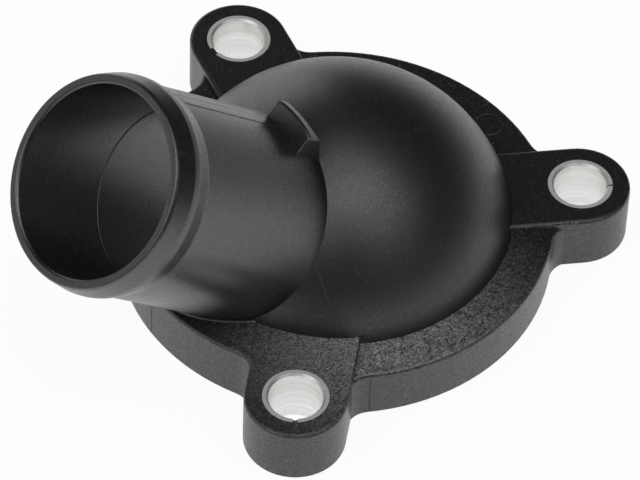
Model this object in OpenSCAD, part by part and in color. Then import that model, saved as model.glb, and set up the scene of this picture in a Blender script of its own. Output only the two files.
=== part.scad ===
// Coolant outlet housing: a domed cover with an inclined hose neck, bolted down through three ears.
// Millimetres. The origin is the centre of the joint face, +Z points up through the dome and the hose
// neck leans out over +X.

/* [Flange] */
// Radius of the round flange
flange_r = 36.8; // [36.4:0.1:42]
// Thickness of the flange between the ears
flange_t = 9.5; // [8:0.1:13]
// Height of the pads above the rest of the flange
pad_rise = 1.2; // [0.4:0.1:2.5]
// Angle from the neck at which the pad under the neck ends, on the side of the rear ear
neck_pad_end = 47; // [30:1:60]

/* [Ears] */
// Distance of the front ear's bolt from the middle of the flange
front_bolt_r = 42.4; // [41:0.1:46]
// Distance of the side ear's bolt from the middle of the flange
side_bolt_r = 41.6; // [41:0.1:46]
// Distance of the rear ear's bolt from the middle of the flange
rear_bolt_r = 41.6; // [41:0.1:46]
// Radius of the rounded end of each ear
ear_r = 8.5; // [7.5:0.1:10]
// Radius of the inside corner between an ear and the flange
ear_fillet_r = 4.2; // [2:0.1:6]
// Direction of the side ear, measured from the neck
side_ear_angle = 154; // [140:1:170]
// Angle from the side ear to each of the other two
ear_spread = 106.6; // [95:0.1:115]

/* [Dome] */
// Outside radius of the dome
dome_r = 30.8; // [30.2:0.1:32]
// Height of the dome's centre above the joint face
dome_z = 2; // [1:0.1:4]
// Wall of the dome
dome_wall = 3; // [2:0.1:4]

/* [Neck] */
// Angle of the neck above the joint face
neck_tilt = 41.8; // [38:0.1:46]
// Distance from the dome's centre to the mouth of the neck
neck_reach = 64.1; // [56:0.1:75]
// Outside radius of the neck, which the hose grips
neck_r = 17.5; // [16.5:0.1:18]
// Height of the hose bead above the neck
bead_rise = 0.7; // [0.3:0.1:1.5]
// Distance from the mouth to the crest of the bead
bead_crest = 4.8; // [3:0.1:6]
// Width of the flat crest of the bead
bead_land = 1.2; // [0.3:0.1:1.5]
// Length of the slope behind the crest
bead_back = 3.0; // [1.5:0.1:5]
// Rounding of the mouth's outer edge
mouth_edge = 0.5; // [0.2:0.1:1]

/* [Neck bore] */
// Radius of the outer half of the bore
bore_r = 15.7; // [14.5:0.1:15.9]
// Depth of the outer half of the bore, from the mouth
bore_depth = 19.6; // [12:0.1:24]
// Step in from the outer half of the bore to the inner half
bore_step = 0.4; // [0.2:0.1:1]
// Chamfer at the mouth of the bore
bore_chamfer = 0.4; // [0.2:0.1:0.6]

/* [Stop rib] */
// Width of the rib that stops the hose
rib_w = 9.6; // [6:0.1:14]
// Distance of the rib's middle from the neck's middle plane, towards the front ear
rib_off = 0.6; // [0:0.1:1.5]
// Height of the rib above the neck
rib_rise = 3.5; // [2:0.1:4.5]
// Distance from the dome's centre to the front of the rib
rib_front = 31.2; // [28:0.1:34]
// Thickness of the rib at its crest, along the neck
rib_crest = 2.1; // [1:0.1:4]

/* [Joint face] */
// Radius of the throat that opens into the dome
throat_r = 25.5; // [24.5:0.1:26]
// Radius of the recess that seats the insert's rim
seat_r = 28; // [27:0.1:28.8]
// Depth of the seat
seat_depth = 3.2; // [2:0.1:3.6]
// Inner radius of the seal groove
groove_r = 30.2; // [29.6:0.1:31]
// Width of the seal groove
groove_w = 3.6; // [3:0.1:4]
// Depth of the seal groove
groove_depth = 2.8; // [2.2:0.1:3.4]

/* [Sleeves] */
// Bore of each sleeve, a clearance hole for the bolt
sleeve_bore_d = 9; // [8.4:0.1:10]
// Thickness of the rolled strip
sleeve_wall = 1; // [0.7:0.1:1.5]
// Radial clearance of a sleeve in its ear
sleeve_clear = 0.02; // [0.01:0.01:0.1]
// Chamfer on a sleeve's edges
sleeve_chamfer = 0.35; // [0.1:0.05:0.45]
// Gap of the split in the front sleeve
front_split = 0.8; // [0.2:0.1:2]
// Gap of the split in the side sleeve
side_split = 0.3; // [0.2:0.1:2]
// Gap of the split in the rear sleeve
rear_split = 1.7; // [0.2:0.1:2]

/* [Seal] */
// Clearance on each side of the seal in its groove
seal_clear = 0.2; // [0.1:0.05:0.5]

/* [Hidden] */
$fn = 96;

// Top of the pads, which is also the length of the sleeves
pad_top = flange_t + pad_rise;
// Directions of the other two ears
front_ear_angle = side_ear_angle - ear_spread;
rear_ear_angle = side_ear_angle + ear_spread;
// Direction and reach of each ear
ears = [
    [front_ear_angle, front_bolt_r],
    [side_ear_angle, side_bolt_r],
    [rear_ear_angle, rear_bolt_r]
];
// Directions in which the sleeves' splits face, measured from their ears
front_split_angle = 8;
side_split_angle = -9;
rear_split_angle = 102;
// Radii of the sleeves and of the holes that hold them
sleeve_r = sleeve_bore_d / 2 + sleeve_wall;
ear_hole_r = sleeve_r + sleeve_clear;
// The dome's inside
cavity_r = dome_r - dome_wall;
// Where the neck's solid begins: its lower side starts level with the joint face
neck_root = (neck_r * cos(neck_tilt) - dome_z) / sin(neck_tilt);
// Outside of the rib, and how far its upright rear face stands from the middle of the flange
rib_r = neck_r + rib_rise;
rib_back = (rib_front - rib_crest) * cos(neck_tilt) - rib_r * sin(neck_tilt);
// The inner half of the neck's bore
inner_bore_r = bore_r - bore_step;
// Overlap of cutting solids past the faces that they cut
past = 1;

// Angle from an ear to the centre of its corner fillet, for an ear whose bolt lies at the given reach
function fillet_angle(reach) =
    let (far = flange_r + ear_fillet_r, near = ear_r + ear_fillet_r)
        acos((reach ^ 2 + far ^ 2 - near ^ 2) / (2 * reach * far));

// Web that fills the corner between the flange and one side of an ear
module ear_web(reach) {
    angle = fillet_angle(reach);
    along = [cos(angle), sin(angle)];
    ear = [reach, 0];
    centre = (flange_r + ear_fillet_r) * along;
    on_ear = ear + (centre - ear) * ear_r / (ear_r + ear_fillet_r);
    difference() {
        polygon([[0, 0], flange_r * along, centre, on_ear, ear]);
        translate(centre)
            circle(r = ear_fillet_r);
    }
}

// Pad of one ear: parallel sides from the middle of the flange to the rounded end
module ear_pad(reach) {
    translate([0, -ear_r])
        square([reach, 2 * ear_r]);
    translate([reach, 0])
        circle(r = ear_r);
}

// Outline of the whole flange with its ears
module flange_outline() {
    circle(r = flange_r);
    for (e = ears) {
        rotate(e[0]) {
            ear_pad(e[1]);
            ear_web(e[1]);
            mirror([0, 1])
                ear_web(e[1]);
        }
    }
}

// Sector from the front ear round to the far side of the neck
module neck_sector() {
    reach = 2 * front_bolt_r;
    polygon([
        [0, 0],
        for (k = [0 : 4])
            let (a = -neck_pad_end + k / 4 * (front_ear_angle + neck_pad_end))
                reach * [cos(a), sin(a)]
    ]);
}

// Raised area: the three pads, and the flange under the neck
module pad_outline() {
    for (e = ears)
        rotate(e[0])
            ear_pad(e[1]);
    intersection() {
        flange_outline();
        neck_sector();
    }
}

// Places its children on the neck: local Z runs out along the neck and local -X is its upper side
module on_neck() {
    translate([0, 0, dome_z])
        rotate([0, 90 - neck_tilt, 0])
            children();
}

// Outside of the neck with the bead at its mouth
module neck_outside() {
    crest = neck_reach - bead_crest;
    rotate_extrude()
        polygon([
            [0, neck_root],
            [neck_r, neck_root],
            [neck_r, crest - bead_back],
            [neck_r + bead_rise, crest],
            [neck_r + bead_rise, crest + bead_land],
            [neck_r, neck_reach - mouth_edge],
            [neck_r - mouth_edge / 2, neck_reach],
            [0, neck_reach]
        ]);
}

// Inside of the neck: two straight halves, with the step where the mould's cores meet
module neck_inside() {
    step = neck_reach - bore_depth;
    rotate_extrude()
        polygon([
            [0, 0],
            [inner_bore_r, 0],
            [inner_bore_r, step],
            [bore_r, step],
            [bore_r, neck_reach - bore_chamfer],
            [bore_r + bore_chamfer, neck_reach],
            [bore_r + bore_chamfer, neck_reach + past],
            [0, neck_reach + past]
        ]);
}

// Rib on the upper side of the neck, square to it in front and upright behind, where it meets the dome
module stop_rib() {
    intersection() {
        on_neck()
            translate([0, 0, neck_root])
                cylinder(r = rib_r, h = rib_front - neck_root);
        translate([rib_back, rib_off - rib_w / 2, dome_z])
            cube([dome_r, rib_w, 2 * dome_r]);
        on_neck()
            translate([-rib_r - past, -rib_r, neck_root])
                cube([rib_r + past, 2 * rib_r, rib_front - neck_root]);
    }
}

// Dome above the joint face
module dome_outside() {
    intersection() {
        translate([0, 0, dome_z])
            sphere(r = dome_r);
        cylinder(r = dome_r + past, h = dome_z + dome_r + past);
    }
}

// Hollow of the dome, open at the throat
module dome_inside() {
    intersection() {
        translate([0, 0, dome_z])
            sphere(r = cavity_r);
        translate([0, 0, -past])
            cylinder(r = throat_r, h = dome_z + dome_r);
    }
}

// Recess that seats the insert, and the groove of the seal
module joint_face_cuts() {
    translate([0, 0, -past])
        cylinder(r = seat_r, h = seat_depth + past);
    translate([0, 0, -past]) {
        difference() {
            cylinder(r = groove_r + groove_w, h = groove_depth + past);
            translate([0, 0, -past])
                cylinder(r = groove_r, h = groove_depth + 3 * past);
        }
    }
}

// One moulding: flange, ears, dome, neck and rib
module housing() {
    color([0.09, 0.09, 0.1])
        difference() {
            union() {
                linear_extrude(flange_t)
                    flange_outline();
                linear_extrude(pad_top)
                    pad_outline();
                dome_outside();
                on_neck()
                    neck_outside();
                stop_rib();
            }
            dome_inside();
            on_neck()
                neck_inside();
            joint_face_cuts();
            for (e = ears)
                rotate(e[0])
                    translate([e[1], 0, -past])
                        cylinder(r = ear_hole_r, h = pad_top + 2 * past);
        }
}

// Rolled sleeve that carries the bolt's load through an ear, with its split facing one direction
module sleeve(ear, split, split_angle) {
    bore = sleeve_bore_d / 2;
    rotate(ear[0])
        translate([ear[1], 0, 0])
            rotate(split_angle)
                difference() {
                    rotate_extrude()
                        polygon([
                            [bore + sleeve_chamfer, 0],
                            [sleeve_r, 0],
                            [sleeve_r, pad_top],
                            [bore + sleeve_chamfer, pad_top],
                            [bore, pad_top - sleeve_chamfer],
                            [bore, sleeve_chamfer]
                        ]);
                    translate([0, -split / 2, -past])
                        cube([sleeve_r + past, split, pad_top + 2 * past]);
                }
}

module sleeve_front() {
    color([0.8, 0.8, 0.8])
        sleeve(ears[0], front_split, front_split_angle);
}

module sleeve_side() {
    color([0.8, 0.8, 0.8])
        sleeve(ears[1], side_split, side_split_angle);
}

module sleeve_rear() {
    color([0.8, 0.8, 0.8])
        sleeve(ears[2], rear_split, rear_split_angle);
}

// Seal with a flat back against the groove and a round crown at the joint face
module flange_seal() {
    width = groove_w - 2 * seal_clear;
    middle = groove_r + groove_w / 2;
    color([0.05, 0.05, 0.05])
        rotate_extrude()
            intersection() {
                union() {
                    translate([middle, width / 2])
                        circle(r = width / 2);
                    translate([middle - width / 2, width / 2])
                        square([width, groove_depth]);
                }
                translate([groove_r, 0])
                    square([groove_w, groove_depth]);
            }
}

housing();
sleeve_front();
sleeve_side();
sleeve_rear();
flange_seal();
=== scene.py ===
"""Dressed model of a moulded coolant outlet housing: a dome, an inclined hose neck and three ears.

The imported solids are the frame.  The moulding is a merged copy of its solid whose edges get the
small radii of a moulding tool; the tool's own traces, its parting seams, flash lines and pin marks,
are surfaces worked out here.  Lengths are metres in the part's frame: the origin is the centre of
the joint face, +Z runs up through the dome and the neck leans out over +X.
"""

import logging
import math
from dataclasses import dataclass, field, replace
from enum import Enum

import bmesh
import bpy
import numpy as np
from mathutils import Matrix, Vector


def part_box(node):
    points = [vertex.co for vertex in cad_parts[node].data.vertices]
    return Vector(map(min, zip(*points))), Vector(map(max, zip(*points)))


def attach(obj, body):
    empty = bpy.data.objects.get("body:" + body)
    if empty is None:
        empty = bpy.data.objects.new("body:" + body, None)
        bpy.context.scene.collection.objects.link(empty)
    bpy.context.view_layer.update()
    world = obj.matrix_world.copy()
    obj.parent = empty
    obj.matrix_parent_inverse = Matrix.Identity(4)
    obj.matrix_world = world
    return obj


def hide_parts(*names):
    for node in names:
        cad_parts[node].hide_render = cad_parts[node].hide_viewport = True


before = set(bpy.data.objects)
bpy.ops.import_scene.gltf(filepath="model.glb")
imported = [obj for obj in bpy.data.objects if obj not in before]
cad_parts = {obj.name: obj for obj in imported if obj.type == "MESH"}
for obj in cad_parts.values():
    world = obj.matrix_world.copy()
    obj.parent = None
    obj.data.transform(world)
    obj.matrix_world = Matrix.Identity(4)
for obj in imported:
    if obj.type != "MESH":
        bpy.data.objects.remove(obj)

LOG = logging.getLogger("outlet_housing")
BODY = "root"
MM = 0.001

Colour = tuple[float, float, float, float]
Counts = tuple[int, int]
Span = tuple[float, float]
Triple = tuple[float, float, float]
Material = bpy.types.Material
Mesh = bpy.types.Mesh
Socket = bpy.types.NodeSocket

BLACK: Colour = (0.0, 0.0, 0.0, 1.0)
SIDEWAYS = np.array([0.0, 1.0, 0.0])
UP = np.array([0.0, 0.0, 1.0])


class Skin(Enum):
    """Skins of the moulding, numbered as its material slots."""

    GRAINY = 0
    SATIN = 1
    SMOOTH = 2
    # SIDE is the grainy skin with a paler painted colour for the walls.
    SIDE = 3


class Ray(Enum):
    """Kinds of ray that see the pale studio round the part."""

    CAMERA = "Is Camera Ray"
    GLOSSY = "Is Glossy Ray"
    TRANSMISSION = "Is Transmission Ray"


# Node helpers


class NodeTree:
    """Thin wrapper that adds, sets and joins shader nodes in one tree."""

    def __init__(self, tree: bpy.types.NodeTree) -> None:
        """Keeps the tree and clears what it came with."""
        self.tree = tree
        tree.nodes.clear()

    def add(self, kind: str, **values: object) -> bpy.types.Node:
        """Adds a node.

        Args:
            kind: Blender's identifier of the node type.
            **values: the node's properties, by name.

        Returns:
            The new node.
        """
        node = self.tree.nodes.new(kind)
        for name, value in values.items():
            setattr(node, name, value)
        return node

    def feed(self, value: object, target: Socket) -> None:
        """Links a socket, or writes a plain value, to an input.

        Args:
            value: the socket or the value.
            target: the input.
        """
        if isinstance(value, Socket):
            self.tree.links.new(value, target)
        else:
            target.default_value = value

    def fill(self, node: bpy.types.Node, values: dict[str | int, object]) -> bpy.types.NodeOutputs:
        """Feeds several inputs of a node.

        Args:
            node: the node.
            values: sockets or plain values, by the inputs' names or numbers.

        Returns:
            The node's outputs.
        """
        for key, value in values.items():
            self.feed(value, node.inputs[key])
        return node.outputs

    def math(self, operation: str, *operands: object, clamp: bool = False) -> Socket:
        """Adds a math node on sockets or numbers.

        Args:
            operation: Blender's name of the operation.
            *operands: up to three sockets or numbers.
            clamp: whether the result is held between 0 and 1.

        Returns:
            The node's output.
        """
        node = self.add("ShaderNodeMath", operation=operation, use_clamp=clamp)
        return self.fill(node, dict(enumerate(operands)))[0]

    def noise(self, vector: Socket, scale: object, detail: float, rough: float) -> Socket:
        """Adds a noise.

        Args:
            vector: coordinates that it reads.
            scale: its scale, a socket or a number; a feature is about 1 / scale wide.
            detail: how many finer noises are added.
            rough: how strongly each finer noise counts.

        Returns:
            Its value, about 0.5 on the whole.
        """
        inputs = {"Vector": vector, "Scale": scale, "Detail": detail, "Roughness": rough}
        return self.fill(self.add("ShaderNodeTexNoise"), inputs)["Fac"]

    def distance(self, vector: Socket, point: Triple) -> Socket:
        """Measures how far coordinates are from a point."""
        node = self.add("ShaderNodeVectorMath", operation="DISTANCE")
        return self.fill(node, {0: vector, 1: point})["Value"]

    def upward(self) -> Socket:
        """Tells how far the surface faces up: 1 level, 0 upright, -1 underneath."""
        normal = self.add("ShaderNodeTexCoord").outputs["Normal"]
        return self.fill(self.add("ShaderNodeSeparateXYZ"), {"Vector": normal})["Z"]

    def stretch(self, vector: Socket, turn: float, scale: Triple) -> Socket:
        """Turns coordinates about Z and then scales them along each axis."""
        inputs = {"Vector": vector, "Rotation": (0.0, 0.0, turn), "Scale": scale}
        return self.fill(self.add("ShaderNodeMapping"), inputs)["Vector"]

    def ramp(self, value: Socket, low: float, high: float) -> Socket:
        """Maps low..high of a value smoothly to 0..1 and holds it there."""
        node = self.add("ShaderNodeMapRange", interpolation_type="SMOOTHSTEP", clamp=True)
        return self.fill(node, {"Value": value, "From Min": low, "From Max": high})["Result"]

    def spread(self, value: Socket, low: float, high: float) -> Socket:
        """Maps 0..1 of a value to low..high."""
        node = self.add("ShaderNodeMapRange", clamp=True)
        return self.fill(node, {"Value": value, "To Min": low, "To Max": high})["Result"]

    def blend(self, share: Socket, a: object, b: object) -> Socket:
        """Blends two colours, given as sockets or as red, green, blue, alpha."""
        node = self.add("ShaderNodeMix", data_type="RGBA")
        return self.fill(node, {0: share, 6: a, 7: b})[2]

    def mix(self, share: Socket, a: object, b: object) -> Socket:
        """Blends two values, given as sockets or numbers."""
        node = self.add("ShaderNodeMix", data_type="FLOAT")
        return self.fill(node, {0: share, 2: a, 3: b})[0]

    def bump(self, height: Socket, depth: float, strength: float) -> Socket:
        """Turns a height into a bumped normal, for relief of a depth in metres."""
        inputs = {"Height": height, "Distance": depth, "Strength": strength}
        return self.fill(self.add("ShaderNodeBump"), inputs)["Normal"]


def new_group(
    name: str, inputs: tuple[str, ...], outputs: tuple[str, ...]
) -> tuple[bpy.types.NodeTree, NodeTree, bpy.types.Node, bpy.types.Node]:
    """Makes a shader node group with named sockets.

    Args:
        name: the group's name.
        inputs: names of the values that it takes, beside a Vector.
        outputs: names of the values that it puts out.

    Returns:
        The group, its wrapper, and its input and output nodes.
    """
    group = bpy.data.node_groups.new(name, "ShaderNodeTree")
    group.interface.new_socket("Vector", in_out="INPUT", socket_type="NodeSocketVector")
    for label in inputs:
        group.interface.new_socket(label, in_out="INPUT", socket_type="NodeSocketFloat")
    for label in outputs:
        group.interface.new_socket(label, in_out="OUTPUT", socket_type="NodeSocketFloat")
    net = NodeTree(group)
    return group, net, net.add("NodeGroupInput"), net.add("NodeGroupOutput")


def grain_group() -> bpy.types.NodeTree:
    """Builds the grain of a filled moulding: blotches of uneven skin with short fibres in it.

    Mottle is a sum of two noises, one as wide as a blotch and one as fine as a fibre, spread about
    its middle by Contrast.  Speck is the top of the fine noise alone, the fibres' bright ends.
    Height is the fine noise on half the wide one.

    Returns:
        The group, from Vector, Blotch, Fibre and Contrast to Mottle, Speck and Height.
    """
    usual, top = (0.32, 0.68), (0.62, 0.78)
    wide_share, fine_share, wide_height, middle = 0.35, 0.65, 0.5, 0.5
    group, net, ins, outs = new_group(
        "fibre_grain", ("Blotch", "Fibre", "Contrast"), ("Mottle", "Speck", "Height")
    )
    wide = net.noise(ins.outputs["Vector"], ins.outputs["Blotch"], detail=4.0, rough=0.6)
    fine = net.noise(ins.outputs["Vector"], ins.outputs["Fibre"], detail=2.0, rough=0.55)
    patches, grains = net.ramp(wide, *usual), net.ramp(fine, *usual)
    patched = net.math("MULTIPLY", patches, wide_share)
    mixed = net.math("MULTIPLY_ADD", grains, fine_share, patched)
    centred = net.math("SUBTRACT", mixed, middle)
    mottle = net.math("MULTIPLY_ADD", centred, ins.outputs["Contrast"], middle, clamp=True)
    height = net.math("MULTIPLY_ADD", patches, wide_height, grains)
    net.fill(outs, {"Mottle": mottle, "Speck": net.ramp(fine, *top), "Height": height})
    return group


def scuff_group() -> bpy.types.NodeTree:
    """Builds fine handling scuffs: sparse straight hairlines in a few worn patches.

    Each hairline is the very top of a noise drawn out along one direction to many times its width;
    a wide noise picks the patches.

    Returns:
        The group, from Vector, Scale and Amount to Scuff.
    """
    directions = ((0.5, (1.0, 0.03, 0.5)), (2.2, (1.0, 0.02, 0.6)))
    hairline, patch, patch_scale = (0.72, 0.84), (0.45, 0.65), 90.0
    group, net, ins, outs = new_group("handling_scuffs", ("Scale", "Amount"), ("Scuff",))
    lines = []
    for turn, drawn in directions:
        along = net.stretch(ins.outputs["Vector"], turn, drawn)
        drawn_noise = net.noise(along, ins.outputs["Scale"], detail=0.0, rough=0.5)
        lines.append(net.ramp(drawn_noise, *hairline))
    wear = net.noise(ins.outputs["Vector"], patch_scale, detail=1.0, rough=0.5)
    worn = net.ramp(wear, *patch)
    shown = net.math("MULTIPLY", net.math("MAXIMUM", *lines), worn)
    scuff = net.math("MULTIPLY", shown, ins.outputs["Amount"], clamp=True)
    net.fill(outs, {"Scuff": scuff})
    return group


@dataclass
class SharedEffects:
    """Node groups that more than one finish uses, built once."""

    grain: bpy.types.NodeTree = field(default_factory=grain_group)
    scuffs: bpy.types.NodeTree = field(default_factory=scuff_group)


def place_group(
    net: NodeTree, group: bpy.types.NodeTree, vector: Socket, **values: float
) -> bpy.types.NodeOutputs:
    """Places a group in a material.

    Args:
        net: the material's tree.
        group: the group to place.
        vector: coordinates that it reads.
        **values: input values by socket name, in lower case.

    Returns:
        The group's outputs.
    """
    inputs = {name.capitalize(): value for name, value in values.items()}
    node = net.add("ShaderNodeGroup", node_tree=group)
    return net.fill(node, {"Vector": vector, **inputs})


def new_material(name: str) -> tuple[Material, NodeTree, bpy.types.Node, Socket]:
    """Makes a material with a Principled surface.

    Args:
        name: the material's name.

    Returns:
        The material, its tree, its Principled node and the piece's own coordinates.
    """
    material = bpy.data.materials.new(name)
    material.use_nodes = True
    net = NodeTree(material.node_tree)
    surface = net.add("ShaderNodeBsdfPrincipled")
    net.fill(net.add("ShaderNodeOutputMaterial"), {"Surface": surface.outputs["BSDF"]})
    return material, net, surface, net.add("ShaderNodeTexCoord").outputs["Object"]


# Finishes


@dataclass(frozen=True)
class NylonSkin:
    """Black glass-filled nylon, as one part of the moulding tool left its skin.

    Its colour carries painted light.  It is painted palest on the level faces round
    painted_light_at, a painted pool of light where the lamps fall on the front of the flange.
    Level faces are painted paler than upright ones, as lit tops, which leaves painted dark lines on
    the rounded rims between them.  On upright faces, and from painted_light_reach outwards, it
    keeps far_share of that painted paleness and far_specks of its specks.  With far_share and
    far_specks at 1, the default, nothing is painted.  Faces turn from upright to level over the
    span level_from, as their normal's Z.
    """

    name: str
    dark: Colour
    pale: Colour
    speck: Colour
    rough: Span
    specular: float
    blotch: float
    fibre: float
    contrast: float
    grain_depth: float
    grain_strength: float
    scuff: float
    scuff_scale: float = 2400.0
    scuffed: Colour = (0.070, 0.070, 0.069, 1.0)
    ior: float = 1.5
    painted_light_at: Triple = (8.0 * MM, 26.0 * MM, 9.5 * MM)
    painted_light_reach: float = 36.0 * MM
    level_from: Span = (0.60, 0.97)
    far_share: float = 1.0
    far_specks: float = 1.0

    def make(self, effects: SharedEffects) -> Material:
        """Builds the material.

        Args:
            effects: the shared node groups.

        Returns:
            The finished material.
        """
        material, net, surface, where = new_material(self.name)
        grain = place_group(
            net, effects.grain, where, blotch=self.blotch, fibre=self.fibre, contrast=self.contrast
        )
        scuffs = place_group(net, effects.scuffs, where, scale=self.scuff_scale, amount=self.scuff)
        # Painted light: level faces near painted_light_at get a paler colour, and more specks, in
        # place of the lamps' light on the front tops; other faces keep far_share of it.
        away = net.ramp(net.distance(where, self.painted_light_at), 0.0, self.painted_light_reach)
        level = net.ramp(net.upward(), *self.level_from)
        near = net.math("MULTIPLY", net.math("SUBTRACT", 1.0, away), level)
        painted_light = net.spread(near, self.far_share, 1.0)
        shade = net.math("MULTIPLY", grain["Mottle"], painted_light)
        colour = net.blend(shade, self.dark, self.pale)
        specks = net.math("MULTIPLY", grain["Speck"], net.spread(near, self.far_specks, 1.0))
        colour = net.blend(specks, colour, self.speck)
        inputs = {
            "Base Color": net.blend(scuffs["Scuff"], colour, self.scuffed),
            "Roughness": net.spread(grain["Mottle"], self.rough[1], self.rough[0]),
            "Normal": net.bump(grain["Height"], self.grain_depth, self.grain_strength),
            "Specular IOR Level": self.specular,
            "IOR": self.ior,
        }
        net.fill(surface, inputs)
        return material


# Its low far_share and far_specks keep the pale colour and specks mostly to the painted pool of
# light on the level faces at the front.
GRAINY_NYLON = NylonSkin(
    name="grainy_nylon",
    dark=(0.0020, 0.0020, 0.0021, 1.0),
    pale=(0.255, 0.255, 0.248, 1.0),
    speck=(0.400, 0.400, 0.390, 1.0),
    rough=(0.28, 0.42),
    specular=0.45,
    blotch=1100.0,
    fibre=3000.0,
    contrast=0.9,
    grain_depth=0.03 * MM,
    grain_strength=0.8,
    scuff=0.06,
    far_share=0.05,
    far_specks=0.22,
)
# Painted light: this copy of the grainy skin keeps far_share 0.20 of its pale colour, not 0.05, so
# the upright faces are painted paler as lit walls; it also reflects more.
PAINTED_PALE_SIDE_NYLON = replace(
    GRAINY_NYLON, name="side_nylon_painted_light", specular=0.75, far_share=0.20, far_specks=0.30
)
SATIN_NYLON = NylonSkin(
    name="satin_nylon",
    dark=(0.002, 0.002, 0.0022, 1.0),
    pale=(0.009, 0.009, 0.0089, 1.0),
    speck=(0.070, 0.070, 0.069, 1.0),
    rough=(0.35, 0.44),
    specular=1.0,
    blotch=1000.0,
    fibre=3000.0,
    contrast=1.3,
    grain_depth=0.02 * MM,
    grain_strength=0.35,
    scuff=0.25,
)
SMOOTH_NYLON = replace(
    SATIN_NYLON,
    name="smooth_nylon",
    pale=(0.008, 0.008, 0.0081, 1.0),
    speck=(0.060, 0.060, 0.059, 1.0),
    rough=(0.27, 0.37),
    blotch=1200.0,
    grain_strength=0.3,
    scuff=0.22,
    ior=1.6,
)


@dataclass(frozen=True)
class RolledMetal:
    """Bright rolled strip with fine lines round the sleeve from sizing, and matt cut ends."""

    dull: Colour = (0.76, 0.76, 0.745, 1.0)
    bright: Colour = (0.96, 0.96, 0.945, 1.0)
    cut: Colour = (0.42, 0.42, 0.41, 1.0)
    rough: Span = (0.24, 0.42)
    end_rough: float = 0.65
    end_metallic: float = 0.35
    end_from: Span = (0.60, 0.95)
    line_draw: Triple = (0.02, 0.02, 1.0)
    line_scale: float = 2400.0
    line_span: Span = (0.3, 0.7)
    line_share: float = 0.6
    line_depth: float = 0.015 * MM
    line_strength: float = 0.5

    def make(self, effects: SharedEffects) -> Material:
        """Builds the material.

        Args:
            effects: the shared node groups.

        Returns:
            The finished material.
        """
        material, net, surface, where = new_material("rolled_metal")
        around = net.stretch(where, 0.0, self.line_draw)
        lines = net.noise(around, self.line_scale, detail=4.0, rough=0.7)
        lines = net.ramp(lines, *self.line_span)
        grain = place_group(net, effects.grain, where, blotch=1400.0, fibre=6000.0, contrast=0.8)
        scuffs = place_group(net, effects.scuffs, where, scale=5000.0, amount=0.6)
        lined = net.math("MULTIPLY", lines, self.line_share)
        tone = net.math("MULTIPLY_ADD", grain["Mottle"], 1.0 - self.line_share, lined)
        colour = net.blend(tone, self.dull, self.bright)
        end = net.ramp(net.math("ABSOLUTE", net.upward()), *self.end_from)
        wall_colour = net.blend(scuffs["Scuff"], colour, self.dull)
        wall_rough = net.spread(tone, self.rough[1], self.rough[0])
        inputs = {
            "Base Color": net.blend(end, wall_colour, self.cut),
            "Roughness": net.mix(end, wall_rough, self.end_rough),
            "Metallic": net.spread(end, 1.0, self.end_metallic),
            "Normal": net.bump(lines, self.line_depth, self.line_strength),
        }
        net.fill(surface, inputs)
        return material


@dataclass(frozen=True)
class SealRubber:
    """Matt black rubber with a dry, slightly dusty skin."""

    dark: Colour = (0.010, 0.010, 0.011, 1.0)
    dusty: Colour = (0.040, 0.039, 0.037, 1.0)
    rough: Span = (0.62, 0.85)
    specular: float = 0.35
    grain_depth: float = 0.02 * MM
    grain_strength: float = 0.3

    def make(self, effects: SharedEffects) -> Material:
        """Builds the material.

        Args:
            effects: the shared node groups.

        Returns:
            The finished material.
        """
        material, net, surface, where = new_material("seal_rubber")
        grain = place_group(net, effects.grain, where, blotch=500.0, fibre=4000.0, contrast=0.9)
        inputs = {
            "Base Color": net.blend(grain["Mottle"], self.dark, self.dusty),
            "Roughness": net.spread(grain["Mottle"], *self.rough),
            "Normal": net.bump(grain["Height"], self.grain_depth, self.grain_strength),
            "Specular IOR Level": self.specular,
        }
        net.fill(surface, inputs)
        return material


# Shapes


def grid_mesh(name: str, points: np.ndarray, closed_u: bool = False) -> Mesh:
    """Turns a grid of points into a mesh of quads.

    Args:
        name: the mesh's name.
        points: array of shape (u, v, 3).
        closed_u: whether the last row joins the first.

    Returns:
        The mesh, smooth shaded, with its faces along u cross v.
    """
    rows, columns = points.shape[:2]
    strips = rows if closed_u else rows - 1
    a, b = np.meshgrid(np.arange(strips), np.arange(columns - 1), indexing="ij")
    low, high = a * columns + b, (a + 1) % rows * columns + b
    quads = np.stack([low, high, high + 1, low + 1], axis=-1).reshape(-1, 4)
    mesh = bpy.data.meshes.new(name)
    mesh.from_pydata(points.reshape(-1, 3).tolist(), [], quads.tolist())
    mesh.shade_smooth()
    mesh.update()
    return mesh


def show(mesh: Mesh, *materials: Material) -> bpy.types.Object:
    """Puts a mesh in the scene as a piece of the moulding.

    Args:
        mesh: the piece's mesh, in the part's frame.
        *materials: its finishes, in the order of its faces' numbers.

    Returns:
        The piece, riding on the part's body.
    """
    piece = bpy.data.objects.new(mesh.name, mesh)
    bpy.context.scene.collection.objects.link(piece)
    mesh.materials.clear()
    for material in materials:
        mesh.materials.append(material)
    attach(piece, BODY)
    LOG.info("%s: %d vertices, %d faces", piece.name, len(mesh.vertices), len(mesh.polygons))
    return piece


def read(items: bpy.types.bpy_prop_collection, name: str, kind: type, width: int) -> np.ndarray:
    """Reads one property of every item.

    Args:
        items: a mesh's points, edges, faces or loops.
        name: the property's name.
        kind: the type of its numbers.
        width: how many numbers an item has.

    Returns:
        Array of shape (n, width).
    """
    values = np.empty(len(items) * width, kind)
    items.foreach_get(name, values)
    return values.reshape(-1, width)


def half_wave(t: np.ndarray) -> np.ndarray:
    """A low rounded section: the square of a cosine, 1 in the middle and 0 beyond -1 and 1."""
    return np.cos(np.clip(t, -1.0, 1.0) * math.pi / 2) ** 2


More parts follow.
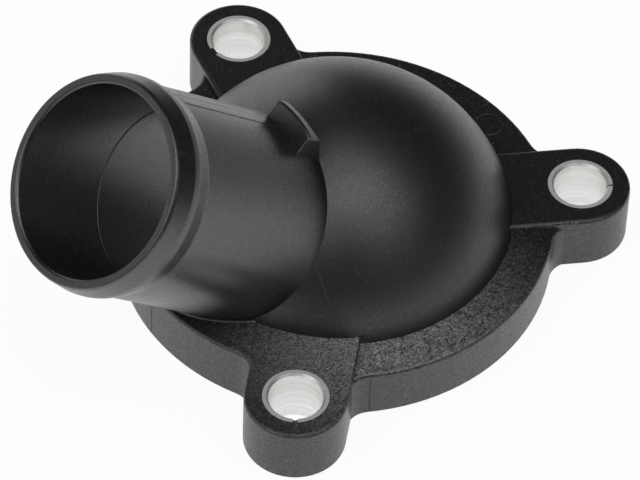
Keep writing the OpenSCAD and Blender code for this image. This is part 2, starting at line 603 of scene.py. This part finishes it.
@dataclass(frozen=True)
class HousingForm:
    """Main sizes of the moulding, and the line of its hose neck from the dome's centre."""

    centre_z: float = 2.0 * MM
    tilt: float = math.radians(41.8)
    neck_r: float = 17.5 * MM
    dome_r: float = 30.8 * MM
    flange_r: float = 36.8 * MM
    flange_top: float = 9.5 * MM
    pad_top: float = 10.7 * MM

    @property
    def along(self) -> np.ndarray:
        """Unit vector out along the neck."""
        return np.array([math.cos(self.tilt), 0.0, math.sin(self.tilt)])

    @property
    def above(self) -> np.ndarray:
        """Unit vector from the line towards the neck's upper side."""
        return np.array([-math.sin(self.tilt), 0.0, math.cos(self.tilt)])

    @property
    def centre(self) -> np.ndarray:
        """The dome's centre, where the line starts."""
        return self.centre_z * UP

    def outward(self, angle: np.ndarray) -> np.ndarray:
        """Unit vectors away from the line, at angles from its upper side towards +Y."""
        return np.cos(angle)[..., None] * self.above + np.sin(angle)[..., None] * SIDEWAYS

    def measure(self, points: np.ndarray) -> tuple[np.ndarray, np.ndarray]:
        """Measures points against the line.

        Args:
            points: array of shape (n, 3).

        Returns:
            Distance along the line and distance from it, of each point.
        """
        offset = points - self.centre
        along = offset @ self.along
        return along, np.linalg.norm(offset - along[:, None] * self.along, axis=1)


@dataclass
class MouldedBody:
    """The moulding: a merged copy of its solid with the radii that its tool leaves on its edges."""

    form: HousingForm = HousingForm()
    mouth_from: float = 63.0 * MM
    bead_from: float = 56.0 * MM
    bead_clear: float = 1.0 * MM
    bores: Span = (15.3 * MM, 15.7 * MM)
    rib_r: float = 21.0 * MM
    rim_round: float = 0.60 * MM
    rib_round: float = 0.40 * MM
    mouth_round: float = 0.16 * MM
    bead_round: float = 0.22 * MM
    bore_round: float = 0.12 * MM
    face_round: float = 0.20 * MM
    inner_round: float = 0.15 * MM
    hole_round: float = 0.12 * MM
    sharp_from: float = math.radians(22.0)
    bead_turn: float = math.radians(8.0)
    same: float = 0.03 * MM
    weld: float = 0.001 * MM
    flat_within: float = math.radians(0.1)
    hole_within: float = 0.1 * MM
    upright_below: float = 0.5
    segments: int = 3
    area_weight: int = 60

    def build(self, skins: list[Material]) -> None:
        """Builds the piece and lets it stand for the housing's solid.

        Args:
            skins: its finishes, numbered as in Skin.
        """
        mesh = self.merged_copy("moulded_body")
        weights = self.edge_radii(mesh) / MM
        layer = mesh.attributes.new("bevel_weight_edge", "FLOAT", "EDGE")
        layer.data.foreach_set("value", weights.astype(np.float32))
        piece = show(mesh, *skins)
        mesh.polygons.foreach_set("material_index", self.face_skins(mesh))
        rounds = piece.modifiers.new("edge_radii", "BEVEL")
        rounds.limit_method = "WEIGHT"
        rounds.width = MM
        rounds.segments = self.segments
        rounds.use_clamp_overlap = False
        rounds.harden_normals = False
        rounds.miter_outer = "MITER_ARC"
        even = piece.modifiers.new("even_shading", "WEIGHTED_NORMAL")
        even.keep_sharp = True
        even.weight = self.area_weight
        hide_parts("housing")

    def merged_copy(self, name: str) -> Mesh:
        """Copies the solid's mesh, joins its loose triangles and clears the cuts inside flat faces.

        Args:
            name: the copy's name.

        Returns:
            The copy, smooth shaded with its sharp edges marked.
        """
        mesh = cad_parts["housing"].data.copy()
        mesh.name = name
        work = bmesh.new()
        work.from_mesh(mesh)
        bmesh.ops.remove_doubles(work, verts=work.verts, dist=self.weld)
        bmesh.ops.dissolve_limit(
            work, angle_limit=self.flat_within, verts=work.verts, edges=work.edges
        )
        work.to_mesh(mesh)
        work.free()
        for stale in ("custom_normal", "sharp_edge", "sharp_face"):
            if stale in mesh.attributes:
                mesh.attributes.remove(mesh.attributes[stale])
        mesh.shade_smooth()
        mesh.set_sharp_from_angle(angle=self.sharp_from)
        return mesh

    def face_skins(self, mesh: Mesh) -> np.ndarray:
        """Picks each face's skin by where it lies.

        Up to the pads' tops a face is grainy, or, if it is upright, has the sides' copy of that
        skin, whose colour is painted paler for the light that the walls catch.  Above them it is
        satin on the dome's ball and smooth elsewhere.

        Args:
            mesh: the merged copy.

        Returns:
            One number of Skin per face.
        """
        points = read(mesh.vertices, "co", np.float32, 3).astype(float)
        starts = read(mesh.polygons, "loop_start", np.int32, 1)[:, 0]
        loops = read(mesh.loops, "vertex_index", np.int32, 1)[:, 0]
        top = np.maximum.reduceat(points[loops, 2], starts)
        off_ball = np.abs(np.linalg.norm(points - self.form.centre, axis=1) - self.form.dome_r)
        on_ball = np.maximum.reduceat(off_ball[loops], starts) < self.same
        upper = np.where(on_ball, Skin.SATIN.value, Skin.SMOOTH.value)
        normals = read(mesh.polygons, "normal", np.float32, 3)
        # Upright faces below the pads take the side skin, which is painted paler.
        upright = np.abs(normals[:, 2]) < self.upright_below
        lower = np.where(upright, Skin.SIDE.value, Skin.GRAINY.value)
        return np.where(top > self.form.pad_top + self.same, upper, lower).astype(np.int32)

    def edge_radii(self, mesh: Mesh) -> np.ndarray:
        """Gives each edge of the moulding its radius, by where it runs.

        An edge is sharp where its two faces turn by more than sharp_from, or by more than bead_turn
        on a ring of the bead.  Its kind follows from its level, its distance from the neck's line
        and its distance from the dome's centre.

        Args:
            mesh: the merged copy.

        Returns:
            One radius per edge, 0 where the edge stays.
        """
        points = read(mesh.vertices, "co", np.float32, 3).astype(float)
        ends = read(mesh.edges, "vertices", np.int32, 2)
        turn, outside = self.edge_turns(mesh)
        along, off = self.form.measure(points)
        far = np.linalg.norm(points - self.form.centre, axis=1)
        height = points[:, 2]

        def both(values: np.ndarray, target: float) -> np.ndarray:
            """True for edges whose two ends have that value."""
            return (np.abs(values[ends] - target) < self.same).all(axis=1)

        level = np.abs(np.diff(along[ends], axis=1)[:, 0]) < self.same
        outer = (along > self.bead_from) & (off > self.bores[1] + self.bead_clear)
        bead = level & outer[ends].all(axis=1)
        rims = np.array([self.form.flange_top, self.form.pad_top])
        on_rim = np.abs(height[:, None] - rims).min(axis=1) < self.same
        kinds = (
            (self.in_ear_holes(points)[ends].all(axis=1), self.hole_round),
            (both(height, 0.0), self.face_round),
            ((along[ends] > self.mouth_from).all(axis=1), self.mouth_round),
            (bead, self.bead_round),
            (both(far, self.form.dome_r) | ~outside, 0.0),
            (on_rim[ends].all(axis=1), self.rim_round),
            (both(off, self.rib_r), self.rib_round),
            (both(off, self.bores[0]) | both(off, self.bores[1]), self.bore_round),
        )
        masks, sizes = zip(*kinds)
        chosen = np.select(masks, sizes, self.inner_round)
        return np.where(turn > np.where(bead, self.bead_turn, self.sharp_from), chosen, 0.0)

    def edge_turns(self, mesh: Mesh) -> tuple[np.ndarray, np.ndarray]:
        """Measures how far the surface turns at each edge.

        Args:
            mesh: the merged copy.

        Returns:
            The angle between an edge's two faces, and whether it is an outside corner.
        """
        work = bmesh.new()
        work.from_mesh(mesh)
        turn = np.array([edge.calc_face_angle(0.0) for edge in work.edges])
        outside = np.array([edge.is_convex for edge in work.edges])
        work.free()
        return turn, outside

    def in_ear_holes(self, points: np.ndarray) -> np.ndarray:
        """Finds points on the wall of a sleeve's hole, which is as wide as the sleeve's box.

        Args:
            points: array of shape (n, 3).

        Returns:
            True for each point on such a wall.
        """
        inside = np.zeros(len(points), dtype=bool)
        for name in FittedParts.sleeves:
            low, high = (np.array(corner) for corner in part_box(name))
            middle, reach = (low + high)[:2] / 2, (high - low)[:2].max() / 2
            away = np.linalg.norm(points[:, :2] - middle, axis=1)
            inside |= np.abs(away - reach) < self.hole_within
        return inside


@dataclass
class PartingSeams:
    """Hairline ridges where the moulding tool's slides met on the neck, the dome and the walls."""

    form: HousingForm = HousingForm()
    shut_off_x: float = 16.1 * MM
    wall_shut_off: float = math.radians(65.2)
    rib_front: float = 31.2 * MM
    bead_foot: float = 56.3 * MM
    land_edges: Span = (math.radians(-10.0), math.radians(-2.0))
    land_rise: float = 0.05 * MM
    flash_rise: float = 0.10 * MM
    width: float = 0.26 * MM
    rise: float = 0.05 * MM
    sink: float = 0.03 * MM
    fade_share: float = 0.06
    land_fade: float = 1.2 * MM
    land_root: float = 0.2 * MM
    wall_ends: Span = (0.6 * MM, 0.3 * MM)
    section_points: int = 9
    land_points: Counts = (60, 49)
    dome_points: int = 48
    wall_points: int = 30

    def build(self, skins: list[Material]) -> None:
        """Builds every seam.

        Args:
            skins: the moulding's finishes, numbered as in Skin.
        """
        satin, grainy = skins[Skin.SATIN.value], skins[Skin.GRAINY.value]
        made = (
            (self.neck_land("seam_neck_top"), skins[Skin.SMOOTH.value]),
            (self.ridge("seam_dome_front", *self.dome_run(1.0)), satin),
            (self.ridge("seam_dome_rear", *self.dome_run(-1.0)), satin),
            (self.ridge("seam_wall_neck", *self.wall_run(0.0)), grainy),
            (self.ridge("seam_wall_front", *self.wall_run(self.wall_shut_off)), grainy),
        )
        for mesh, skin in made:
            show(mesh, skin)

    def ridge(self, name: str, path: np.ndarray, out: np.ndarray) -> Mesh:
        """Carries a low rounded section along a path on a surface.

        The section is a half wave, `width` wide and `rise` high, on feet sunk by `sink`; it stands
        along the surface's normal and lies across the path.  Over fade_share of the path at each
        end its height fades as the square root of the way to the end.

        Args:
            name: the mesh's name.
            path: points on the surface, shape (n, 3).
            out: the surface's normals there, shape (n, 3).

        Returns:
            The ridge.
        """
        across = np.cross(out, np.gradient(path, axis=0))
        across /= np.linalg.norm(across, axis=1, keepdims=True)
        t = np.linspace(-1.0, 1.0, self.section_points)
        share = np.linspace(0.0, 1.0, len(path))
        fade = np.sqrt(np.clip(np.minimum(share, 1.0 - share) / self.fade_share, 0.0, 1.0))
        lift = self.rise * half_wave(t)[None, :] * fade[:, None]
        lift[:, [0, -1]] = -self.sink
        side = (t * self.width / 2)[None, :, None] * across[:, None, :]
        return grid_mesh(name, path[:, None, :] + side + lift[:, :, None] * out[:, None, :])

    def neck_land(self, name: str) -> Mesh:
        """Raises the strip between the two slides' flash lines, along the neck's top.

        Across the neck its height is `land_rise` between the two edges and a half wave of
        `flash_rise` on each edge, on feet sunk by `sink`.  It runs straight along the neck from the
        rib and fades out at the bead's foot, as the square root of the way to it.

        Args:
            name: the mesh's name.

        Returns:
            The strip.
        """
        half = self.width / 2 / self.form.neck_r
        first, last = self.land_edges
        rows, columns = self.land_points
        angle = np.linspace(first - half, last + half, columns)
        flash = np.maximum(half_wave((angle - first) / half), half_wave((angle - last) / half))
        between = (angle > first) & (angle < last)
        lift = self.flash_rise * flash + self.land_rise * between * (1.0 - flash)
        s = np.linspace(self.rib_front - self.land_root, self.bead_foot, rows)
        fade = np.sqrt(np.clip((s[-1] - s) / self.land_fade, 0.0, 1.0))
        rise = lift[None, :] * fade[:, None]
        rise[:, [0, -1]] = -self.sink
        out = self.form.outward(angle)[None, :, :]
        path = self.form.centre + s[:, None, None] * self.form.along
        return grid_mesh(name, path + (self.form.neck_r + rise)[:, :, None] * out)

    def dome_run(self, side: float) -> tuple[np.ndarray, np.ndarray]:
        """Path down the dome in the plane x = shut_off_x: an arc from the neck to the flange.

        Args:
            side: 1 for the +Y side, -1 for the -Y side.

        Returns:
            Path and normals.
        """
        reach = math.sqrt(self.form.dome_r**2 - self.shut_off_x**2)
        along = math.sqrt(self.form.dome_r**2 - self.form.neck_r**2)
        top = (along - self.shut_off_x * self.form.along[0]) / self.form.along[2]
        foot = self.form.flange_top - self.form.centre_z
        swing = np.linspace(math.asin(top / reach), math.asin(foot / reach), self.dome_points)
        x = np.full_like(swing, self.shut_off_x)
        offset = np.stack([x, side * reach * np.cos(swing), reach * np.sin(swing)], axis=1)
        return self.form.centre + offset, offset / self.form.dome_r

    def wall_run(self, angle: float) -> tuple[np.ndarray, np.ndarray]:
        """Path straight down the flange's wall, in from its two ends by wall_ends.

        Args:
            angle: where it runs, round the flange.

        Returns:
            Path and normals.
        """
        out = np.array([math.cos(angle), math.sin(angle), 0.0])
        below, foot = self.wall_ends
        z = np.linspace(self.form.flange_top - below, foot, self.wall_points)
        path = self.form.flange_r * out + z[:, None] * UP
        return path, np.repeat(out[None, :], len(path), axis=0)


@dataclass
class NeckFoot:
    """Small fillet where the underside of the neck runs into the pad."""

    form: HousingForm = HousingForm()
    radius: float = 0.45 * MM
    into_dome: float = 0.8 * MM
    sink: float = 0.03 * MM
    trials: int = 721
    points: Counts = (160, 9)

    def build(self, skin: Material) -> None:
        """Builds the fillet.

        A ball of `radius` rolls round the neck's underside and on the pad: its centre keeps
        `radius` above the pad and neck radius + `radius` from the neck's line, so that at an angle
        p from the underside it stands (level x cos(tilt) + reach x cos(p)) / sin(tilt) out.  The
        surface is the ball's arc between the points where it touches the pad and the neck, on feet
        sunk into both.  It ends inside the dome's wall.

        Args:
            skin: the moulding's finish there.
        """
        reach = self.form.neck_r + self.radius
        level = self.form.pad_top + self.radius - self.form.centre_z
        wide = np.linspace(-0.5 * math.pi, 0.5 * math.pi, self.trials)
        centre = self.ball(wide, reach, level)
        hidden = math.sqrt(self.form.dome_r**2 - level**2) - self.into_dome
        wide = wide[np.linalg.norm(centre[:, :2], axis=1) > hidden]
        angle = np.linspace(wide[0], wide[-1], self.points[0])
        centre = self.ball(angle, reach, level)
        to_neck = self.form.outward(math.pi - angle) * -1.0
        turn = np.arccos(np.clip(to_neck @ -UP, -1.0, 1.0))[:, None, None]
        share = np.linspace(0.0, 1.0, self.points[1])[None, :, None]
        arc = np.sin((1.0 - share) * turn) * -UP + np.sin(share * turn) * to_neck[:, None, :]
        arc /= np.sin(turn)
        deep = np.full(share.shape, self.radius)
        deep[:, [0, -1]] += self.sink
        show(grid_mesh("fillet_neck_foot", centre[:, None, :] + deep * arc), skin)

    def ball(self, angle: np.ndarray, reach: float, level: float) -> np.ndarray:
        """Places the rolling ball, by the formula in build.

        Args:
            angle: angles round the neck, from its underside towards +Y.
            reach: distance of its centre from the neck's line.
            level: height of its centre over the dome's.

        Returns:
            Its centres, shape (n, 3).
        """
        tilt = self.form.tilt
        x = (level * math.cos(tilt) + reach * np.cos(angle)) / math.sin(tilt)
        z = np.full_like(x, level + self.form.centre_z)
        return np.stack([x, reach * np.sin(angle), z], axis=1)


@dataclass
class PinMarks:
    """Faint round witness marks that the tool's pins leave on the flange."""

    form: HousingForm = HousingForm()
    middle_r: float = 33.0 * MM
    angles: Span = (math.radians(79.5), math.radians(183.7))
    radius: float = 2.4 * MM
    width: float = 0.36 * MM
    rises: Span = (0.12 * MM, 0.05 * MM)
    sink: float = 0.02 * MM
    points: Counts = (72, 9)

    def build(self, skin: Material) -> None:
        """Builds the marks.

        Args:
            skin: the moulding's finish there.
        """
        for number, (angle, rise) in enumerate(zip(self.angles, self.rises), 1):
            show(self.ring(f"pin_mark_{number}", angle, rise), skin)

    def ring(self, name: str, angle: float, rise: float) -> Mesh:
        """Turns a half wave, `width` wide and `rise` high, round a point of the flange's top.

        Args:
            name: the mesh's name.
            angle: where the mark sits, round the flange.
            rise: its height.

        Returns:
            The ring.
        """
        turn = np.linspace(0.0, 2.0 * math.pi, self.points[0], endpoint=False)[:, None]
        t = np.linspace(1.0, -1.0, self.points[1])[None, :]
        lift = rise * half_wave(t)
        lift[:, [0, -1]] = -self.sink
        reach = self.radius + t * self.width / 2
        x = self.middle_r * math.cos(angle) + reach * np.cos(turn)
        y = self.middle_r * math.sin(angle) + reach * np.sin(turn)
        z = np.broadcast_to(self.form.flange_top + lift, x.shape)
        return grid_mesh(name, np.stack([x, y, z], axis=-1), closed_u=True)


@dataclass
class BoreDraft:
    """Draft of the outer half of the neck's bore, which leaves a low step to the inner half."""

    form: HousingForm = HousingForm()
    wide_r: float = 15.72 * MM
    narrow_r: float = 15.42 * MM
    step_at: float = 44.5 * MM
    length: float = 18.6 * MM
    points: Counts = (144, 13)

    def build(self, skin: Material) -> None:
        """Builds the drafted wall: a cone round the neck's line from narrow_r out to wide_r.

        Args:
            skin: the moulding's finish there.
        """
        turn = np.linspace(0.0, 2.0 * math.pi, self.points[0], endpoint=False)
        share = np.linspace(0.0, 1.0, self.points[1])
        radius = self.narrow_r + (self.wide_r - self.narrow_r) * share
        path = self.form.centre + (self.step_at + self.length * share)[:, None] * self.form.along
        points = path[None, :, :] + radius[None, :, None] * self.form.outward(turn)[:, None, :]
        show(grid_mesh("bore_draft", points, closed_u=True), skin)


@dataclass(frozen=True)
class Split:
    """Gap where a rolled sleeve's strip meets itself."""

    sleeve: str
    facing: float
    gap: float


@dataclass
class SplitFills:
    """Nylon of the ears that has crept into the splits of the pressed-in sleeves."""

    inner_r: float = 4.70 * MM
    outer_r: float = 5.50 * MM
    top: float = 10.45 * MM
    foot: float = 0.15 * MM
    corner: float = 0.20 * MM
    waist: float = 0.06
    corner_points: int = 7
    gap_points: int = 9
    splits: tuple[Split, ...] = (
        Split("sleeve_front", math.radians(55.4), 0.8 * MM),
        Split("sleeve_side", math.radians(145.0), 0.3 * MM),
        Split("sleeve_rear", math.radians(2.6), 1.7 * MM),
    )

    def build(self, skin: Material) -> None:
        """Builds the fills.

        Args:
            skin: the moulding's finish there.
        """
        for split in self.splits:
            show(self.fill(split), skin)

    def fill(self, split: Split) -> Mesh:
        """Carries an upright section across a split.

        The section is a rectangle from inner_r to outer_r and from foot to top, with its upper
        inner corner rounded.  It narrows towards the middle of the split by `waist` of its size, as
        a half wave.

        Args:
            split: the gap to fill.

        Returns:
            The fill.
        """
        low, high = (np.array(corner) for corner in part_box(split.sleeve))
        middle = np.append((low + high)[:2] / 2, 0.0)
        swing = np.linspace(0.5 * math.pi, math.pi, self.corner_points)
        round_r = self.inner_r + self.corner * (1.0 + np.cos(swing))
        round_z = self.top + self.corner * (np.sin(swing) - 1.0)
        r = np.concatenate([[self.outer_r, self.outer_r], round_r, [self.inner_r]])
        z = np.concatenate([[self.foot, self.top], round_z, [self.foot]])
        t = np.linspace(1.0, -1.0, self.gap_points)
        keep = 1.0 - self.waist * half_wave(t)
        reach = r.mean() + keep * (r - r.mean())[:, None]
        height = z.mean() + keep * (z - z.mean())[:, None]
        out = np.array([math.cos(split.facing), math.sin(split.facing), 0.0])
        across = np.array([-out[1], out[0], 0.0])
        side = (t * split.gap / 2)[None, :, None] * across
        points = middle + reach[:, :, None] * out + side + height[:, :, None] * UP
        return grid_mesh(f"split_fill_{split.sleeve}", points, closed_u=True)


@dataclass
class FittedParts:
    """Sleeves and seal, which keep their solids and get their finishes."""

    sleeves: tuple[str, ...] = ("sleeve_front", "sleeve_side", "sleeve_rear")
    seal: str = "flange_seal"

    def dress(self, metal: Material, rubber: Material) -> None:
        """Gives each solid its finish.

        Args:
            metal: the sleeves' finish.
            rubber: the seal's finish.
        """
        for name, material in (*((sleeve, metal) for sleeve in self.sleeves), (self.seal, rubber)):
            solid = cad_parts[name].data
            solid.materials.clear()
            solid.materials.append(material)
            LOG.info("%s: finish %s", name, material.name)


# Studio


def looking(back: np.ndarray, distance: float, aim: np.ndarray, roll: float) -> Matrix:
    """Places something that looks down its own -Z at a point.

    Args:
        back: unit vector from the point towards it.
        distance: how far away it stands.
        aim: the point.
        roll: turn about the line of sight, anticlockwise as it sees, in radians.

    Returns:
        Its matrix.
    """
    level = np.cross(UP, back)
    level /= np.linalg.norm(level)
    upright = np.cross(back, level)
    place = np.eye(4)
    place[:3, 0] = math.cos(roll) * level + math.sin(roll) * upright
    place[:3, 1] = math.cos(roll) * upright - math.sin(roll) * level
    place[:3, 2] = back
    place[:3, 3] = aim + distance * back
    return Matrix(place.tolist())


def towards(azimuth: float, elevation: float) -> np.ndarray:
    """Unit vector to a place in degrees: azimuth 0 is over -Y and 90 over +X, 90 up is overhead."""
    a, e = math.radians(azimuth), math.radians(elevation)
    return np.array([math.sin(a) * math.cos(e), -math.cos(a) * math.cos(e), math.sin(e)])


def seen_rays(net: NodeTree) -> Socket:
    """Tells the rays that see the pale studio from the light that it sheds.

    Args:
        net: the tree that asks.

    Returns:
        Value that is 1 for every kind in Ray and 0 otherwise.
    """
    path = net.add("ShaderNodeLightPath")
    total = net.math("ADD", path.outputs[Ray.CAMERA.value], path.outputs[Ray.GLOSSY.value])
    return net.math("ADD", total, path.outputs[Ray.TRANSMISSION.value], clamp=True)


@dataclass(frozen=True)
class SoftBox:
    """A square area lamp that faces the part."""

    name: str
    azimuth: float
    elevation: float
    power: float
    distance: float = 1.3
    size: float = 0.85
    aim_z: float = 20.0 * MM

    def build(self) -> None:
        """Adds the lamp, on a sphere round the part, turned to its middle."""
        data = bpy.data.lights.new(self.name, "AREA")
        data.shape = "SQUARE"
        data.size = self.size
        data.energy = self.power
        lamp = bpy.data.objects.new(self.name, data)
        back = towards(self.azimuth, self.elevation)
        lamp.matrix_world = looking(back, self.distance, self.aim_z * UP, 0.0)
        bpy.context.scene.collection.objects.link(lamp)


@dataclass
class Studio:
    """Pale floor, soft boxes, world and camera."""

    azimuth: float = 144.9
    elevation: float = 48.82
    roll: float = math.radians(2.2)
    distance: float = 0.7753
    aim: Triple = (1.76 * MM, -2.0 * MM, 0.55 * MM)
    lens: float = 256.43
    sensor: float = 36.0
    clip: Span = (0.01, 100.0)
    floor_z: float = -0.3 * MM
    floor_half: float = 3.0
    floor_paint: Colour = (0.88, 0.88, 0.88, 1.0)
    floor_white: float = 0.94
    floor_gloss: float = 0.80
    # floor_far and floor_fade paint a pool of light on the floor round the part.
    floor_far: float = 0.45
    floor_fade: Span = (0.12, 0.50)
    world_light: float = 0.50
    world_gloss: float = 0.015
    world_foot: float = 0.45
    foot_top: float = 0.06
    boxes: tuple[SoftBox, ...] = (
        SoftBox("overhead", 200.0, 86.0, 2.4),
        SoftBox("high_side", 202.0, 62.0, 2.6),
        SoftBox("high_front", 118.0, 60.0, 2.0),
        SoftBox("low_front", 190.0, 40.0, 0.7),
        SoftBox("neck_side", 90.0, 40.0, 3.0),
        SoftBox("low_neck", 45.0, 10.0, 1.2),
        SoftBox("low_back", 350.0, 10.0, 3.0),
    )

    def build(self) -> None:
        """Builds everything round the part."""
        bpy.context.scene.view_settings.view_transform = "Standard"
        self.build_camera()
        self.build_floor()
        self.build_world()
        for box in self.boxes:
            box.build()

    def build_camera(self) -> None:
        """Adds the camera at the picture's viewing angle."""
        data = bpy.data.cameras.new("camera")
        data.lens = self.lens
        data.sensor_width = self.sensor
        data.clip_start, data.clip_end = self.clip
        camera = bpy.data.objects.new("camera", data)
        back = towards(self.azimuth, self.elevation)
        camera.matrix_world = looking(back, self.distance, np.array(self.aim), self.roll)
        bpy.context.scene.collection.objects.link(camera)
        bpy.context.scene.camera = camera

    def build_floor(self) -> None:
        """Adds the floor, a flat square that reads as white and keeps the part's soft shadow."""
        side = np.array([-self.floor_half, self.floor_half])
        x, y = np.meshgrid(side, side, indexing="ij")
        mesh = grid_mesh("floor", np.stack([x, y, np.full_like(x, self.floor_z)], axis=-1))
        material = bpy.data.materials.new("pale_floor")
        material.use_nodes = True
        net = NodeTree(material.node_tree)
        camera = net.add("ShaderNodeLightPath").outputs[Ray.CAMERA.value]
        seen = net.math("MULTIPLY", seen_rays(net), self.floor_gloss)
        share = net.mix(camera, seen, self.floor_white)
        where = net.add("ShaderNodeTexCoord").outputs["Object"]
        # Painted light: the floor's glow in reflections and its paint fade from full near the part
        # to floor_far beyond floor_fade, a painted pool of light round the part.
        away = net.ramp(net.distance(where, (0.0, 0.0, 0.0)), *self.floor_fade)
        near = net.spread(away, 1.0, self.floor_far)
        strength = net.math("MAXIMUM", near, camera)
        glow = net.fill(net.add("ShaderNodeEmission"), {"Strength": strength})[0]
        colour = net.blend(near, BLACK, self.floor_paint)
        paint = net.fill(net.add("ShaderNodeBsdfDiffuse"), {"Color": colour})[0]
        mixed = net.fill(net.add("ShaderNodeMixShader"), {0: share, 1: paint, 2: glow})[0]
        net.fill(net.add("ShaderNodeOutputMaterial"), {"Surface": mixed})
        mesh.materials.append(material)
        floor = bpy.data.objects.new("floor", mesh)
        bpy.context.scene.collection.objects.link(floor)

    def build_world(self) -> None:
        """Sets the world: white to the camera, an even fill as a light, a dim room in gloss.

        The room is dark above and turns to world_foot from foot_top, a direction's Z, down to 0.
        """
        world = bpy.data.worlds.new("studio")
        bpy.context.scene.world = world
        world.use_nodes = True
        net = NodeTree(world.node_tree)
        path = net.add("ShaderNodeLightPath")
        where = net.add("ShaderNodeTexCoord").outputs["Generated"]
        height = net.fill(net.add("ShaderNodeSeparateXYZ"), {"Vector": where})["Z"]
        room = net.math("SUBTRACT", 1.0, net.ramp(height, 0.0, self.foot_top))
        gloss = net.spread(room, self.world_gloss, self.world_foot)
        light = net.math("MULTIPLY", net.math("SUBTRACT", 1.0, seen_rays(net)), self.world_light)
        mirrored = net.math("SUBTRACT", seen_rays(net), path.outputs[Ray.CAMERA.value])
        shown = net.math("MULTIPLY_ADD", gloss, mirrored, light)
        strength = net.math("ADD", shown, path.outputs[Ray.CAMERA.value])
        back = net.fill(net.add("ShaderNodeBackground"), {"Strength": strength})[0]
        net.fill(net.add("ShaderNodeOutputWorld"), {"Surface": back})


def main() -> None:
    """Builds the dressed part and its studio."""
    logging.basicConfig(level=logging.INFO, format="%(name)s: %(message)s")
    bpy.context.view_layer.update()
    effects = SharedEffects()
    finishes = (GRAINY_NYLON, SATIN_NYLON, SMOOTH_NYLON, PAINTED_PALE_SIDE_NYLON)
    skins = [finish.make(effects) for finish in finishes]
    MouldedBody().build(skins)
    PartingSeams().build(skins)
    NeckFoot().build(skins[Skin.SMOOTH.value])
    PinMarks().build(skins[Skin.GRAINY.value])
    BoreDraft().build(skins[Skin.SMOOTH.value])
    SplitFills().build(skins[Skin.GRAINY.value])
    FittedParts().dress(RolledMetal().make(effects), SealRubber().make(effects))
    Studio().build()


if __name__ == "__main__":
    main()
